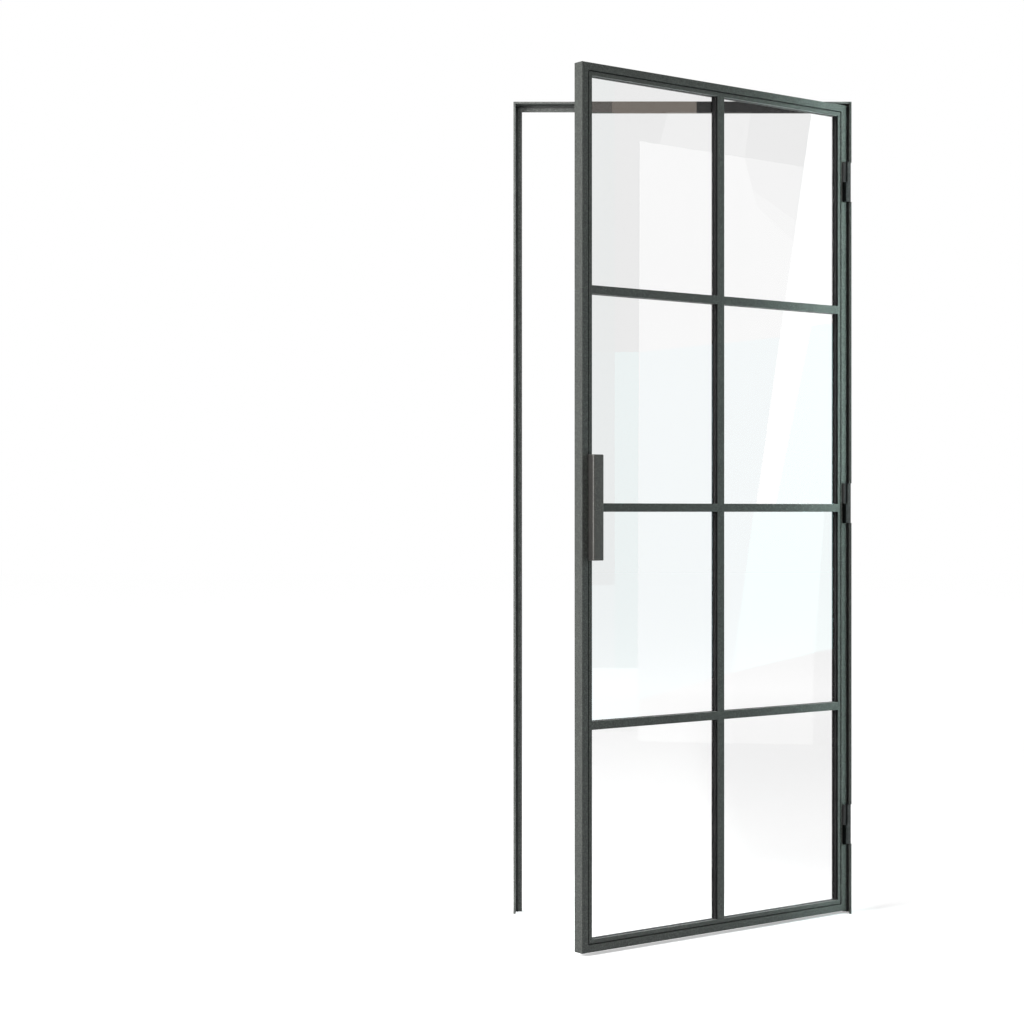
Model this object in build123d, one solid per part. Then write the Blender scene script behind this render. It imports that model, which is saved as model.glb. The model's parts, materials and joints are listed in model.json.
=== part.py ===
from build123d import *
import os

# Glazed steel door with its frame, in millimetres.
# X runs along the wall towards the hinges, Y runs from the front to the back, Z is up.
# The origin is on the floor, at the foot of the hinge jamb, in the middle of its wall leg.

# Frame, a rolled steel angle on three sides of the doorway
frame_width = 870.0
frame_height = 2090.0
frame_depth = 40.0
wall_leg = 5.0
stop_thickness = 5.0
stop_width = 15.0

# Countersunk holes for the wall screws
wall_hole_radius = 2.7
wall_sink_radius = 5.2
wall_sink_most = 0.6
jamb_hole_count = 4
jamb_hole_from_end = 110.0
head_hole_count = 2
head_hole_from_end = 155.0

# Rubber seals in the rebate
seal_inset = 2.0
seal_width = 3.4
seal_thickness = 4.2
seal_round = 1.0
seal_round_most = 0.45
hinge_seal_thickness = 3.0
head_seal_clearance = 0.3

# Gaps round the closed leaf
hinge_gap = 1.8
lock_gap = 5.0
head_gap = 3.8
floor_gap = 8.2
leaf_setback = 0.5

# Outer tubes of the leaf
leaf_depth = 30.0
tube_face = 17.6
tube_wall = 1.5
tube_round = 0.6

# Glazing bars on both faces of the leaf
bead_face = 9.2
groove_width = 2.8
groove_depth = 4.3
front_recess = 1.0
bar_depth = 8.5
upright_width = 22.2
cross_width = 20.0
pane_columns = 2
pane_rows = 4

# Glass and its gaskets
glass_thickness = 6.0
glass_cover = 5.0
gasket_wall = 1.0

# Screws that hold the back bars
screw_radius = 1.4
screw_head_radius = 2.4
screw_to_gasket = 0.2
screw_fit = 0.05
screw_grip = 5.0
screw_slot_width = 0.8
screw_slot_depth = 0.7
screws_per_pane_height = 2

# Pull handles, one on each face
pull_height = 247.0
pull_projection = 20.0
pull_reach = 30.8
pull_sheet = 2.5
pull_bend = 3.0
pull_corner = 2.0
pull_lip = 4.0
pull_fit = 0.15

# Hinges
hinge_top_drop = 207.0
hinge_bottom_height = 231.0
hinge_axis_inset = 12.0
hinge_axis_proud = 4.5
knuckle_side = 7.8
knuckle_height = 50.5
knuckle_round = 2.2
plate_thickness = 3.0
plate_from_axis = 8.2
plate_width = 8.2
plate_notch = 1.9
pin_radius = 2.2
pin_half_length = 42.0
pin_fit_fixed = 0.02
pin_fit_running = 0.05
pin_end_room = 0.3
washer_thickness = 1.0
washer_radius = 3.7
washer_room = 0.05

# Magnet catch in the top rail
magnet_length = 40.0
magnet_height = 10.0
magnet_depth = 10.0
magnet_from_lock = 120.0
magnet_stop_gap = 0.8

# Distance below which two points count as level
near_enough = 0.01

# How far the leaf stands open at rest, in degrees
rest_opening = 38.7

# Levels and lines that follow from the sizes above
wall_right = wall_leg / 2
wall_left = wall_right - frame_width
frame_front = -frame_depth / 2
frame_back = frame_depth / 2
stop_front = frame_back - stop_thickness
rebate_right = wall_right - wall_leg
rebate_left = wall_left + wall_leg
rebate_top = frame_height - wall_leg

leaf_right = rebate_right - hinge_gap
leaf_left = rebate_left + lock_gap
leaf_top = rebate_top - head_gap
leaf_bottom = floor_gap
leaf_front = frame_front + leaf_setback
leaf_back = leaf_front + leaf_depth
leaf_middle = (leaf_top + leaf_bottom) / 2

bead_width = groove_width + bead_face
glazing_depth = glass_thickness + 2 * gasket_wall
front_bar_front = leaf_front + front_recess
front_bar_back = front_bar_front + bar_depth
back_bar_front = front_bar_back + glazing_depth
back_bar_back = back_bar_front + bar_depth

daylight_left = leaf_left + tube_face + bead_width
daylight_right = leaf_right - tube_face - bead_width
daylight_bottom = leaf_bottom + tube_face + bead_width
daylight_top = leaf_top - tube_face - bead_width
pane_width = (daylight_right - daylight_left - (pane_columns - 1) * upright_width) / pane_columns
pane_height = (daylight_top - daylight_bottom - (pane_rows - 1) * cross_width) / pane_rows

axis_x = leaf_right - hinge_axis_inset
axis_y = frame_front - hinge_axis_proud
hinge_axis = Axis((axis_x, axis_y, 0), (0, 0, 1))

# The back corner of the leaf at the hinges swings this far back, so the head seal stays behind it
corner_reach = (hinge_axis_inset ** 2 + (leaf_back - axis_y) ** 2) ** 0.5
head_seal_thickness = stop_front - (axis_y + corner_reach) - head_seal_clearance

hinge_top_height = frame_height - hinge_top_drop
hinge_levels = {
    "top": hinge_top_height,
    "middle": (hinge_top_height + hinge_bottom_height) / 2,
    "bottom": hinge_bottom_height,
}

fixed_parts = {}
leaf_parts = {}


# Shared shapes

def block(x0, x1, y0, y1, z0, z1):
    # A plain block between two corners.
    return Pos(x0, y0, z0) * Box(x1 - x0, y1 - y0, z1 - z0, align=(Align.MIN, Align.MIN, Align.MIN))


def along_y(radius, length, x, y, z):
    # A round bar that starts at y and runs towards the back.
    start = Plane((x, y, z), x_dir=(1, 0, 0), z_dir=(0, 1, 0))
    return extrude(start * Circle(radius), length)


def side_plane(side, x0, x1, z0, z1):
    # Where a section is drawn so that its first axis points inwards and its second to the back.
    if side == "left":
        return Plane((x0, 0, z0), x_dir=(1, 0, 0), z_dir=(0, 0, 1))
    if side == "right":
        return Plane((x1, 0, z1), x_dir=(-1, 0, 0), z_dir=(0, 0, -1))
    if side == "top":
        return Plane((x0, 0, z1), x_dir=(0, 0, -1), z_dir=(1, 0, 0))
    return Plane((x1, 0, z0), x_dir=(0, 0, 1), z_dir=(-1, 0, 0))


def side_outline(side, x0, x1, z0, z1, width, square_foot):
    # Front view of one side of a rectangular frame, with its ends cut at 45 degrees.
    foot = z0 if square_foot else z0 + width
    outlines = {
        "left": [(x0, z0), (x0 + width, foot), (x0 + width, z1 - width), (x0, z1)],
        "right": [(x1, z0), (x1, z1), (x1 - width, z1 - width), (x1 - width, foot)],
        "top": [(x0, z1), (x0 + width, z1 - width), (x1 - width, z1 - width), (x1, z1)],
        "bottom": [(x0, z0), (x1, z0), (x1 - width, z0 + width), (x0 + width, z0 + width)],
    }
    return outlines[side]


def mitred_side(section, side, x0, x1, z0, z1, width, y0, y1, square_foot=False):
    # One side of a rectangular frame: the section runs along it and the ends are mitred.
    length = z1 - z0 if side in ("left", "right") else x1 - x0
    bar = extrude(side_plane(side, x0, x1, z0, z1) * section, length)
    outline = Polygon(*side_outline(side, x0, x1, z0, z1, width, square_foot), align=None)
    return bar & extrude(Plane.XZ.offset(-y1) * outline, y1 - y0)


# Fixed frame

def angle_section():
    # Wall leg along the depth, with the stop turned in at the back.
    low = (Align.MIN, Align.MIN)
    leg = Pos(0, frame_front) * Rectangle(wall_leg, frame_depth, align=low)
    stop = Pos(0, stop_front) * Rectangle(wall_leg + stop_width, stop_thickness, align=low)
    return leg + stop


def frame_side(side):
    return mitred_side(
        angle_section(), side, wall_left, wall_right, 0, frame_height,
        wall_leg + stop_width, frame_front, frame_back, square_foot=True)


def wall_hole(face_point, outwards):
    # A screw hole through the wall leg, countersunk from the doorway side.
    start = Plane(face_point, z_dir=outwards)
    hole = extrude(start * Circle(wall_hole_radius), wall_leg, both=True)
    sink_depth = min(wall_sink_radius - wall_hole_radius, wall_leg * wall_sink_most)
    sink = Cone(
        wall_sink_radius, wall_sink_radius - sink_depth, sink_depth,
        align=(Align.CENTER, Align.CENTER, Align.MIN))
    return hole + start * sink


def spread_evenly(first, last, count):
    # Places for a row of holes, both ends included.
    step = (last - first) / (count - 1)
    return [first + k * step for k in range(count)]


def jamb_hole_heights():
    return spread_evenly(jamb_hole_from_end, frame_height - jamb_hole_from_end, jamb_hole_count)


def head_hole_places():
    return spread_evenly(wall_left + head_hole_from_end, wall_right - head_hole_from_end, head_hole_count)


def jamb_lock_side():
    jamb = frame_side("left")
    hole_y = (frame_front + stop_front) / 2
    for z in jamb_hole_heights():
        jamb -= wall_hole((rebate_left, hole_y, z), (-1, 0, 0))
    return jamb


def jamb_hinge_side():
    # The wall leg is cut back behind each hinge plate.
    jamb = frame_side("right")
    hole_y = (frame_front + stop_front) / 2
    for z in jamb_hole_heights():
        jamb -= wall_hole((rebate_right, hole_y, z), (1, 0, 0))
    half = knuckle_height + washer_thickness / 2
    for z in hinge_levels.values():
        jamb -= block(
            wall_right - plate_notch, wall_right + wall_leg,
            frame_front - wall_leg, frame_back + wall_leg, z - half, z + half)
    return jamb


def head_bar():
    head = frame_side("top")
    hole_y = (frame_front + stop_front) / 2
    for x in head_hole_places():
        head -= wall_hole((x, hole_y, rebate_top), (0, 0, 1))
    return head


def seal_section(thickness):
    # A strip that lies on the stop, near the corner of the rebate, with its front edges rounded.
    strip = Pos(wall_leg + seal_inset, stop_front - thickness) * Rectangle(
        seal_width, thickness, align=(Align.MIN, Align.MIN))
    most = seal_round_most * min(thickness, seal_width)
    return fillet(strip.vertices().group_by(Axis.Y)[0], min(seal_round, most))


def jamb_seal(side, thickness):
    length = rebate_top - seal_inset - seal_width
    foot = side_plane(side, wall_left, wall_right, 0, length)
    return extrude(foot * seal_section(thickness), length)


def head_seal():
    start = Plane((rebate_left, 0, frame_height), x_dir=(0, 0, -1), z_dir=(1, 0, 0))
    return extrude(start * seal_section(head_seal_thickness), rebate_right - rebate_left)


# Hinges

def knuckle_section(back_y, round_back):
    # Square knuckle round the pin; its back edge is at back_y.
    half = knuckle_side / 2
    front_y = axis_y - half
    shape = Pos(axis_x - half, front_y) * Rectangle(
        knuckle_side, back_y - front_y, align=(Align.MIN, Align.MIN))
    shape = fillet(shape.vertices().group_by(Axis.Y)[0], knuckle_round)
    if round_back:
        shape = fillet(shape.vertices().group_by(Axis.Y)[-1], knuckle_round)
    return shape


def hinge_frame_half(z):
    # Lower knuckle with its arm, and the plate on the front edge of the jamb.
    half_gap = washer_thickness / 2
    low = z - half_gap - knuckle_height
    high = z + half_gap + knuckle_height
    knuckle = extrude(
        Pos(0, 0, low) * knuckle_section(axis_y + knuckle_side / 2, True), knuckle_height)
    plate_left = axis_x + plate_from_axis
    plate_front = frame_front - plate_thickness
    plate = block(plate_left, plate_left + plate_width, plate_front, frame_front, low, high)
    arm = block(axis_x, plate_left, plate_front, frame_front - leaf_setback / 2, low, low + knuckle_height)
    bore = Pos(axis_x, axis_y, z - pin_half_length) * Cylinder(
        pin_radius + pin_fit_fixed, pin_half_length, align=(Align.CENTER, Align.CENTER, Align.MIN))
    return knuckle + plate + (arm - arm_relief(low)) - bore


def arm_relief(low):
    # Keeps the arm inside the knuckle's own width behind the pin.
    return block(axis_x, axis_x + knuckle_side / 2, axis_y + knuckle_side / 2, frame_front, low,
                 low + knuckle_height)


def hinge_leaf_half(z):
    # Upper knuckle, welded to the face of the hinge stile.
    low = z + washer_thickness / 2
    knuckle = extrude(Pos(0, 0, low) * knuckle_section(leaf_front, False), knuckle_height)
    bore_depth = pin_half_length - washer_thickness / 2 + pin_end_room
    bore = Pos(axis_x, axis_y, low) * Cylinder(
        pin_radius + pin_fit_running, bore_depth, align=(Align.CENTER, Align.CENTER, Align.MIN))
    return knuckle - bore


def hinge_pin(z):
    return Pos(axis_x, axis_y, z) * Cylinder(pin_radius, 2 * pin_half_length)


def hinge_washer(z):
    low = z - washer_thickness / 2
    ring = Circle(washer_radius) - Circle(pin_radius + pin_fit_running)
    return extrude(Pos(axis_x, axis_y, low) * ring, washer_thickness - washer_room)


# Leaf tubes

def tube_section():
    # Rounded rectangular tube, its outer edge on the outline of the leaf.
    middle = Pos(tube_face / 2, (leaf_front + leaf_back) / 2)
    outer = RectangleRounded(tube_face, leaf_depth, tube_round)
    inner = Rectangle(tube_face - 2 * tube_wall, leaf_depth - 2 * tube_wall)
    return middle * (outer - inner)


def leaf_tube(side):
    return mitred_side(
        tube_section(), side, leaf_left, leaf_right, leaf_bottom, leaf_top,
        tube_face, leaf_front, leaf_back)


def magnet_catch():
    # A block let into the back wall of the top rail; it stops short of the head's stop when shut.
    x = leaf_left + magnet_from_lock
    z = leaf_top - tube_face / 2
    pole_y = stop_front - magnet_stop_gap
    return block(
        x - magnet_length / 2, x + magnet_length / 2, pole_y - magnet_depth, pole_y,
        z - magnet_height / 2, z + magnet_height / 2)


# Glazing bars

def bead_section(front_y, back_y, groove_at_front):
    # Border bar with a shadow groove between it and the tube.
    low = (Align.MIN, Align.MIN)
    bar = Pos(0, front_y) * Rectangle(bead_width, back_y - front_y, align=low)
    groove_y = front_y if groove_at_front else back_y - groove_depth
    return bar - Pos(0, groove_y) * Rectangle(groove_width, groove_depth, align=low)


def bead(side, front_y, back_y, groove_at_front):
    return mitred_side(
        bead_section(front_y, back_y, groove_at_front), side,
        leaf_left + tube_face, leaf_right - tube_face,
        leaf_bottom + tube_face, leaf_top - tube_face,
        bead_width, front_y, back_y)


def upright_places():
    # Left edge of each upright muntin.
    return [daylight_left + k * pane_width + (k - 1) * upright_width for k in range(1, pane_columns)]


def cross_places():
    # Lower edge of each cross muntin, from the top down.
    return [daylight_top - k * (pane_height + cross_width) for k in range(1, pane_rows)]


def upright_muntin(x, front_y, back_y):
    # Half its depth is cut away at the back where a cross muntin passes.
    bar = block(x, x + upright_width, front_y, back_y, daylight_bottom, daylight_top)
    middle_y = (front_y + back_y) / 2
    for z in cross_places():
        bar -= block(x, x + upright_width, middle_y, back_y, z, z + cross_width)
    return bar


def cross_muntin(z, front_y, back_y):
    # Half its depth is cut away at the front where an upright muntin passes.
    bar = block(daylight_left, daylight_right, front_y, back_y, z, z + cross_width)
    middle_y = (front_y + back_y) / 2
    for x in upright_places():
        bar -= block(x, x + upright_width, front_y, middle_y, z, z + cross_width)
    return bar


# Glass

def pane_corner(column, row):
    # Lower left corner of the daylight opening; row 1 is the top row.
    x = daylight_left + (column - 1) * (pane_width + upright_width)
    z = daylight_top - row * pane_height - (row - 1) * cross_width
    return x, z


def sheet(column, row, grow, front_y, back_y):
    # A rectangle over one opening, larger by grow on every side.
    x, z = pane_corner(column, row)
    return block(x - grow, x + pane_width + grow, front_y, back_y, z - grow, z + pane_height + grow)


def pane(column, row):
    return sheet(column, row, glass_cover, front_bar_back + gasket_wall, back_bar_front - gasket_wall)


def gasket(column, row):
    # A channel round the edge of the pane.
    outside = sheet(column, row, glass_cover + gasket_wall, front_bar_back, back_bar_front)
    opening = sheet(column, row, 0, front_bar_back, back_bar_front)
    return outside - opening - pane(column, row)


# Screws through the back bars into the front ones

def screw_points():
    # They pass outside the gaskets: beside them in the border bars, midway in the muntins.
    edge = glass_cover + gasket_wall + screw_to_gasket + screw_radius
    points = []
    heights = []
    for row in range(1, pane_rows + 1):
        z = pane_corner(1, row)[1]
        for k in range(screws_per_pane_height):
            heights.append(z + pane_height * (k + 0.5) / screws_per_pane_height)
    uprights = [x + upright_width / 2 for x in upright_places()]
    for x in [daylight_left - edge] + uprights + [daylight_right + edge]:
        points += [(x, z) for z in heights]
    crosses = [z + cross_width / 2 for z in cross_places()]
    for z in [daylight_bottom - edge] + crosses + [daylight_top + edge]:
        for column in range(1, pane_columns + 1):
            points.append((pane_corner(column, 1)[0] + pane_width / 2, z))
    return points


def screw_head_height():
    return screw_head_radius - screw_radius


def screw_shape(x, z, spread, slotted):
    # Shank from inside the front bar to the back face, with a countersunk head.
    length = screw_grip + glazing_depth + bar_depth
    shank = along_y(screw_radius + spread, length, x, front_bar_back - screw_grip, z)
    mouth = Plane((x, back_bar_back, z), x_dir=(1, 0, 0), z_dir=(0, -1, 0))
    head = mouth * Cone(
        screw_head_radius + spread, screw_radius + spread, screw_head_height(),
        align=(Align.CENTER, Align.CENTER, Align.MIN))
    screw = shank + head
    if slotted:
        half = screw_head_radius
        screw -= block(
            x - half, x + half, back_bar_back - screw_slot_depth, back_bar_back + screw_slot_depth,
            z - screw_slot_width / 2, z + screw_slot_width / 2)
    return screw


def drilled(bar):
    # Cuts the screw holes that fall inside this bar.
    box = bar.bounding_box()
    for x, z in screw_points():
        if box.min.X < x < box.max.X and box.min.Z < z < box.max.Z:
            bar -= screw_shape(x, z, screw_fit, False)
    return bar


# Pull handles

def pull(root_y, face_y, outwards):
    # Bent sheet: the leg stands in the groove beside the lock stile, the grip reaches over the glass.
    x0 = leaf_left + tube_face + pull_fit
    tip_y = face_y + outwards * pull_projection
    x1 = x0 + pull_reach
    inner_y = tip_y - outwards * pull_sheet
    leg = block_section(x0, x0 + pull_sheet, root_y, tip_y)
    grip = block_section(x0, x1, inner_y, tip_y)
    lip = block_section(x1 - pull_sheet, x1, tip_y - outwards * pull_lip, tip_y)
    profile = leg + grip + lip
    rows = profile.vertices().group_by(Axis.Y)
    profile = fillet(rows[-1] if outwards > 0 else rows[0], pull_bend)
    inner_bends = [point for point in profile.vertices() if abs(point.Y - inner_y) < near_enough]
    profile = fillet(inner_bends, pull_bend - pull_sheet)
    low = leaf_middle - pull_height / 2
    handle = extrude(Pos(0, 0, low) * profile, pull_height)
    free_edges = handle.edges().filter_by(Axis.Y).group_by(Axis.X)[-1]
    return fillet(free_edges, pull_corner)


def block_section(x0, x1, y0, y1):
    # A rectangle in plan, whichever way round its Y values are given.
    return Pos(x0, min(y0, y1)) * Rectangle(x1 - x0, abs(y1 - y0), align=(Align.MIN, Align.MIN))


# Collect the fixed pieces
fixed_parts["jamb_lock_side"] = jamb_lock_side()
fixed_parts["jamb_hinge_side"] = jamb_hinge_side()
fixed_parts["head_bar"] = head_bar()
fixed_parts["seal_lock_jamb"] = jamb_seal("left", seal_thickness)
fixed_parts["seal_hinge_jamb"] = jamb_seal("right", hinge_seal_thickness)
fixed_parts["seal_head"] = head_seal()
for name, level in hinge_levels.items():
    fixed_parts["hinge_frame_half_" + name] = hinge_frame_half(level)
    fixed_parts["hinge_pin_" + name] = hinge_pin(level)
    fixed_parts["hinge_washer_" + name] = hinge_washer(level)

# Collect the pieces of the leaf, drawn shut
catch = magnet_catch()
leaf_parts["stile_lock"] = leaf_tube("left")
leaf_parts["stile_hinge"] = leaf_tube("right")
leaf_parts["rail_top"] = leaf_tube("top") - catch
leaf_parts["rail_bottom"] = leaf_tube("bottom")
leaf_parts["magnet_catch"] = catch

bar_layers = {
    "front": (front_bar_front, front_bar_back, True),
    "back": (back_bar_front, back_bar_back, False),
}
bead_sides = {"lock": "left", "hinge": "right", "top": "top", "bottom": "bottom"}
for layer, (near, far, groove_at_front) in bar_layers.items():
    for name, side in bead_sides.items():
        leaf_parts[layer + "_bead_" + name] = drilled(bead(side, near, far, groove_at_front))
    for x in upright_places():
        leaf_parts[layer + "_muntin_upright"] = drilled(upright_muntin(x, near, far))
    for number, z in enumerate(cross_places(), start=1):
        leaf_parts[layer + "_muntin_cross_" + str(number)] = drilled(cross_muntin(z, near, far))

column_names = {1: "lock", 2: "hinge"}
for column, name in column_names.items():
    for row in range(1, pane_rows + 1):
        leaf_parts["pane_" + name + "_" + str(row)] = pane(column, row)
        leaf_parts["gasket_" + name + "_" + str(row)] = gasket(column, row)

leaf_parts["bead_screws"] = [screw_shape(x, z, 0, True) for x, z in screw_points()]
leaf_parts["pull_front"] = pull(front_bar_front + groove_depth, leaf_front, -1)
leaf_parts["pull_back"] = pull(back_bar_back - groove_depth, leaf_back, 1)
for name, level in hinge_levels.items():
    leaf_parts["hinge_leaf_half_" + name] = hinge_leaf_half(level)


def swung_open(shape):
    # Turns a piece of the leaf, or each piece of a group, from shut to its rest opening.
    if isinstance(shape, list):
        return Compound(children=[swung_open(single) for single in shape])
    return shape.rotate(hinge_axis, rest_opening)


# Write one file for each piece
os.makedirs("parts", exist_ok=True)
for name, shape in fixed_parts.items():
    export_step(shape, "parts/" + name + ".step")
for name, shape in leaf_parts.items():
    export_step(swung_open(shape), "parts/" + name + ".step")
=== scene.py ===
import json
import math

import bmesh
import bpy
from mathutils import Matrix, Vector


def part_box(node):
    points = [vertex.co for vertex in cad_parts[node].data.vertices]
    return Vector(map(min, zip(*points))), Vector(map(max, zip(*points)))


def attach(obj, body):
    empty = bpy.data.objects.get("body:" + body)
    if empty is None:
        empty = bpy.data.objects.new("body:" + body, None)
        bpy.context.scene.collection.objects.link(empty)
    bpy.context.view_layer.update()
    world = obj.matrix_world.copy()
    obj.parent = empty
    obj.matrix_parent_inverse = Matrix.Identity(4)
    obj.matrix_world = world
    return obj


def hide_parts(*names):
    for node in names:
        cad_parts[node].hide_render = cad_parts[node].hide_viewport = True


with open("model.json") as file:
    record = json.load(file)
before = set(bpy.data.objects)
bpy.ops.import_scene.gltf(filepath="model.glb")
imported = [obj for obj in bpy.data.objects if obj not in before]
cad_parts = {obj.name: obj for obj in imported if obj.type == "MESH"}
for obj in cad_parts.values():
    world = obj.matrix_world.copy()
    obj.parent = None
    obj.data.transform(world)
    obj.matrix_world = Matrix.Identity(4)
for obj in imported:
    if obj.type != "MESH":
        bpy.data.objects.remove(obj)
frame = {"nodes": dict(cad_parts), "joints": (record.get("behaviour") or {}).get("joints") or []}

bl_info = {
    "name": "Glazed steel door",
    "version": (1, 0, 0),
    "blender": (4, 5, 0),
    "location": "View3D > Sidebar > Door",
    "description": "Finishes a glazed steel door and its frame, and sets up its studio",
    "category": "Object",
}

NODES = frame["nodes"]
HINGE = frame["joints"][0]
MM = 0.001

FRAME_BARS = ("jamb_lock_side", "head_bar", "jamb_hinge_side")
LEAF_TUBES = ("stile_lock", "rail_top", "stile_hinge", "rail_bottom")
BEAD_SIDES = ("lock", "hinge", "top", "bottom")
HINGE_PLACES = ("top", "middle", "bottom")
SEALS = ("seal_lock_jamb", "seal_hinge_jamb", "seal_head")
PULLS = ("pull_front", "pull_back")
COLUMNS = ("lock", "hinge")
ROWS = 4
BARS = (*("bead_" + side for side in BEAD_SIDES), "muntin_upright",
        *("muntin_cross_" + str(k) for k in range(1, ROWS)))

ALONG_WALL = Vector((1, 0, 0))
BACKWARDS = Vector((0, 1, 0))
UPWARDS = Vector((0, 0, 1))

# Mesh clean-up: angles in radians, distances in metres
SHARP_ANGLE = 0.6
BEVEL_ANGLE = 0.9
FLAT_ANGLE = 0.004
DOUBLE_DISTANCE = 1e-6
MITRE_DOUBLE_DISTANCE = 1e-5
POINT_DIGITS = 7

# Faces hidden in a mitre lie near its corner and stand at 45 degrees to both bars
MITRE_REACH = 45 * MM
MITRE_COSINE = math.sqrt(0.5)
MITRE_SLACK = 0.02

# Faces that get a coat of their own: painted shade on the soffit, the reveals, the knuckles and the
# pull sides, painted light on the ledges
FACING_COSINE = 0.9
SIDE_DEPTH = 6 * MM
SOFFIT_DROP = 40 * MM
SOFFIT_SETBACK = 2 * MM
KNUCKLE_REACH = 7.5 * MM

# Shares of a user's colour, rounding or grain that a piece takes; the soffit, hinge and pull side
# shares are painted shade
SOFFIT_PAINTED_SHADE = 0.58
HINGE_KNUCKLE_PAINTED_SHADE = 0.3
PULL_SIDE_PAINTED_SHADE = 0.3
MAGNET_SHADE = 0.25
BACK_BAR_ROUNDING = 0.6
PULL_ROUNDING = 1.6
PULL_GRAIN = 0.8
SCREW_GRAIN = 0.3 * MM

# Powder coat: shades of its valleys and tops, tint of its drift, spread of its roughness
VALLEY_SHADE = 0.55
TOP_SHADE = 1.62
DRIFT_TINT = (0.86, 0.9, 0.88, 1)
ROUGHNESS_SPREAD = 0.06
GRAIN_HEIGHT = 0.1 * MM

# Grains: share of the fine noise, scale of the coarse one against it, heights that count as tops
FINE_SHARE = 0.45
COARSE_SHARE = 0.55
COARSE_SCALE = 0.2
TOP_HEIGHTS = (0.47, 0.62)


# Sizes and colours that a user would change

class DoorSizes(bpy.types.PropertyGroup):
    leaf_setback: bpy.props.FloatProperty(
        name="Leaf setback",
        description="How far the shut leaf stands behind the front of the frame",
        default=0.5 * MM, unit="LENGTH")
    leaf_depth: bpy.props.FloatProperty(
        name="Leaf depth", description="Depth of the tubes of the leaf",
        default=30 * MM, unit="LENGTH")
    leaf_left: bpy.props.FloatProperty(
        name="Leaf lock edge",
        description="Place of the lock edge of the shut leaf along the wall",
        default=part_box("jamb_lock_side")[0].x + 10 * MM, unit="LENGTH")
    leaf_right: bpy.props.FloatProperty(
        name="Leaf hinge edge",
        description="Place of the hinge edge of the shut leaf along the wall",
        default=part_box("jamb_hinge_side")[1].x - 6.8 * MM, unit="LENGTH")
    tube_face: bpy.props.FloatProperty(
        name="Tube face", description="Width of the tubes as seen from the front",
        default=17.6 * MM, unit="LENGTH")
    groove_width: bpy.props.FloatProperty(
        name="Groove width", description="Width of the shadow groove beside the tubes",
        default=2.8 * MM, unit="LENGTH")
    groove_depth: bpy.props.FloatProperty(
        name="Groove depth", description="Depth of the shadow groove",
        default=4.3 * MM, unit="LENGTH")
    bead_face: bpy.props.FloatProperty(
        name="Border bar face", description="Width of the glazing bar round the edge",
        default=9.2 * MM, unit="LENGTH")
    bar_recess: bpy.props.FloatProperty(
        name="Bar recess", description="How far the front bars stand behind the tubes",
        default=1 * MM, unit="LENGTH")
    bar_depth: bpy.props.FloatProperty(
        name="Bar depth", description="Depth of a glazing bar",
        default=8.5 * MM, unit="LENGTH")
    upright_width: bpy.props.FloatProperty(
        name="Upright muntin width", description="Width of the upright glazing bar",
        default=22.2 * MM, unit="LENGTH")
    cross_width: bpy.props.FloatProperty(
        name="Cross muntin width", description="Width of the level glazing bars",
        default=20 * MM, unit="LENGTH")
    edge_round: bpy.props.FloatProperty(
        name="Edge rounding", description="Rounding that the coating leaves on sharp steel edges",
        default=0.45 * MM, unit="LENGTH")
    grain_size: bpy.props.FloatProperty(
        name="Coating grain", description="Size of the grains in the powder coat",
        default=0.7 * MM, unit="LENGTH")


class DoorColours(bpy.types.PropertyGroup):
    coating: bpy.props.FloatVectorProperty(
        name="Coating", description="Powder coat of the leaf", subtype="COLOR", size=3,
        default=(0.039, 0.042, 0.038), min=0, max=1)
    # A lighter copy of the leaf's coat: painted light on the lock side of the frame
    frame_coating: bpy.props.FloatVectorProperty(
        name="Frame coating with painted light", description="Powder coat of the jambs and the head", subtype="COLOR",
        size=3, default=(0.070, 0.074, 0.069), min=0, max=1)
    pull: bpy.props.FloatVectorProperty(
        name="Pull coating", description="Powder coat of the pulls", subtype="COLOR", size=3,
        default=(0.050, 0.047, 0.042), min=0, max=1)
    hinge: bpy.props.FloatVectorProperty(
        name="Hinge coating", description="Coating of the hinges", subtype="COLOR", size=3,
        default=(0.004, 0.004, 0.004), min=0, max=1)
    hinge_plate: bpy.props.FloatVectorProperty(
        name="Hinge plate coating", description="Coating of the plates that hold the hinges",
        subtype="COLOR", size=3, default=(0.014, 0.014, 0.014), min=0, max=1)
    # Painted shade on the deep sides of the upright bars, which stand in the shade of the leaf
    reveal: bpy.props.FloatVectorProperty(
        name="Reveal painted shade", description="Coating of the sides of the upright bars",
        subtype="COLOR", size=3, default=(0.002, 0.002, 0.002), min=0, max=1)
    # Painted light: highlights along the upper and lower sides of the level bars
    ledge_light: bpy.props.FloatVectorProperty(
        name="Ledge painted light", description="Coating of the upper and lower sides of the level bars",
        subtype="COLOR", size=3, default=(0.125, 0.13, 0.125), min=0, max=1)
    rubber: bpy.props.FloatVectorProperty(
        name="Rubber", description="Seals and glazing gaskets", subtype="COLOR", size=3,
        default=(0.012, 0.012, 0.012), min=0, max=1)
    glass: bpy.props.FloatVectorProperty(
        name="Glass tint", description="Tint of the clear glass", subtype="COLOR", size=3,
        default=(0.846, 0.846, 0.846), min=0, max=1)
    steel: bpy.props.FloatVectorProperty(
        name="Bare steel", description="Hinge pins and the pole of the magnet catch",
        subtype="COLOR", size=3, default=(0.42, 0.42, 0.41), min=0, max=1)


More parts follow.
